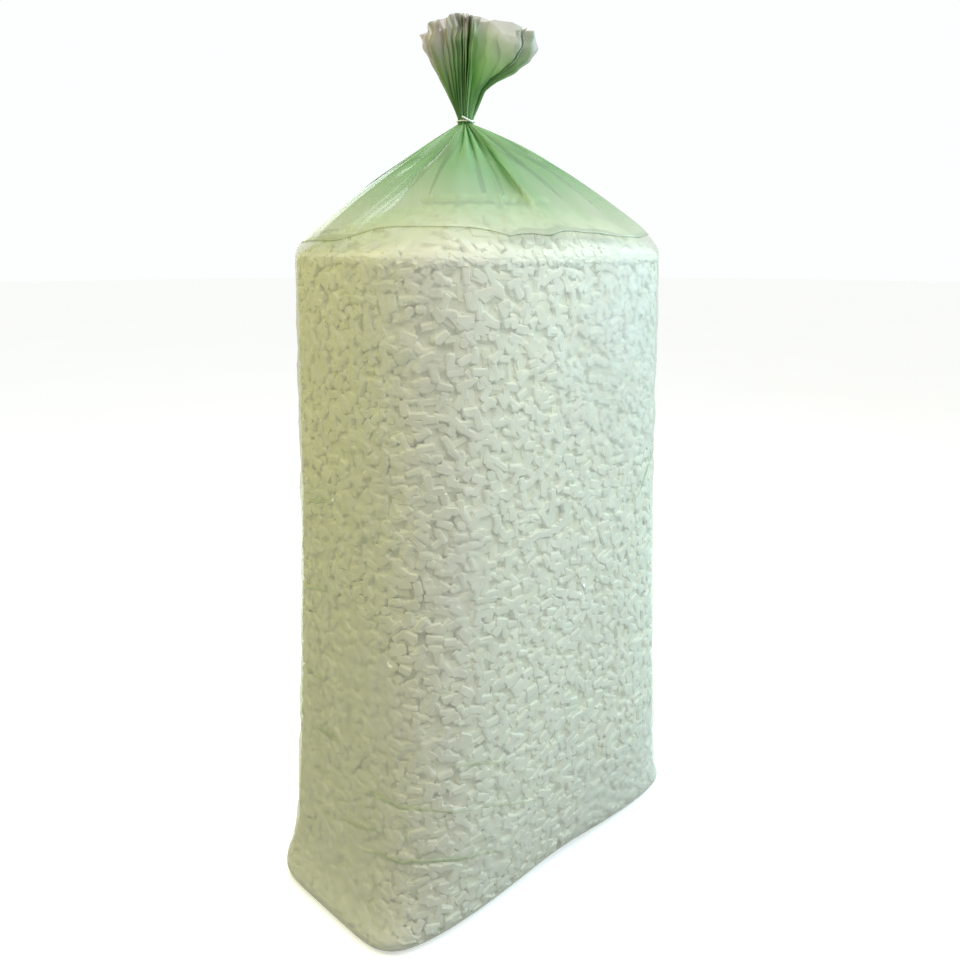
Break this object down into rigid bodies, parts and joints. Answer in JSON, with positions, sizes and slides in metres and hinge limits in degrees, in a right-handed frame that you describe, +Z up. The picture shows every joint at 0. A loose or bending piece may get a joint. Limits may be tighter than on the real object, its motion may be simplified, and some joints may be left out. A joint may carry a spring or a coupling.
{
  "type": "packing peanut bag",
  "caption": "Tall sack of thin hazy film, filled with loose foam packing peanuts and gathered into a neck that a twisted wire holds shut.",
  "frame": {"origin": "middle of the base that the sack stands on", "axes": "+X along the long sides of the sack, +Z up, and -Y is the front"},
  "size_m": [0.8838, 0.5064, 1.6902],
  "materials": {
    "film": "thin clear film with a slight green tint and a soft gloss",
    "foam": "matt expanded foam with a fine cell texture",
    "wire": "thin wire with a white coat"
  },
  "bodies": {
    "root": {"film_bag": "film", "peanut_fill": "foam", "wire_tie": "wire", "loose_peanut_01": "foam", "loose_peanut_02": "foam", "loose_peanut_03": "foam", "loose_peanut_04": "foam", "loose_peanut_05": "foam", "loose_peanut_06": "foam", "loose_peanut_07": "foam", "loose_peanut_08": "foam", "loose_peanut_09": "foam", "loose_peanut_10": "foam", "loose_peanut_11": "foam", "loose_peanut_12": "foam", "loose_peanut_13": "foam", "loose_peanut_14": "foam", "loose_peanut_15": "foam", "loose_peanut_16": "foam", "loose_peanut_17": "foam", "loose_peanut_18": "foam", "loose_peanut_19": "foam", "loose_peanut_20": "foam", "loose_peanut_21": "foam", "loose_peanut_22": "foam", "loose_peanut_23": "foam", "loose_peanut_24": "foam", "loose_peanut_25": "foam", "loose_peanut_26": "foam", "loose_peanut_27": "foam", "loose_peanut_28": "foam", "loose_peanut_29": "foam", "loose_peanut_30": "foam", "loose_peanut_31": "foam", "loose_peanut_32": "foam", "loose_peanut_33": "foam", "loose_peanut_34": "foam", "loose_peanut_35": "foam", "loose_peanut_36": "foam", "loose_peanut_37": "foam", "loose_peanut_38": "foam", "loose_peanut_39": "foam", "loose_peanut_40": "foam", "loose_peanut_41": "foam", "loose_peanut_42": "foam", "loose_peanut_43": "foam", "loose_peanut_44": "foam"}
  },
  "joints": []
}
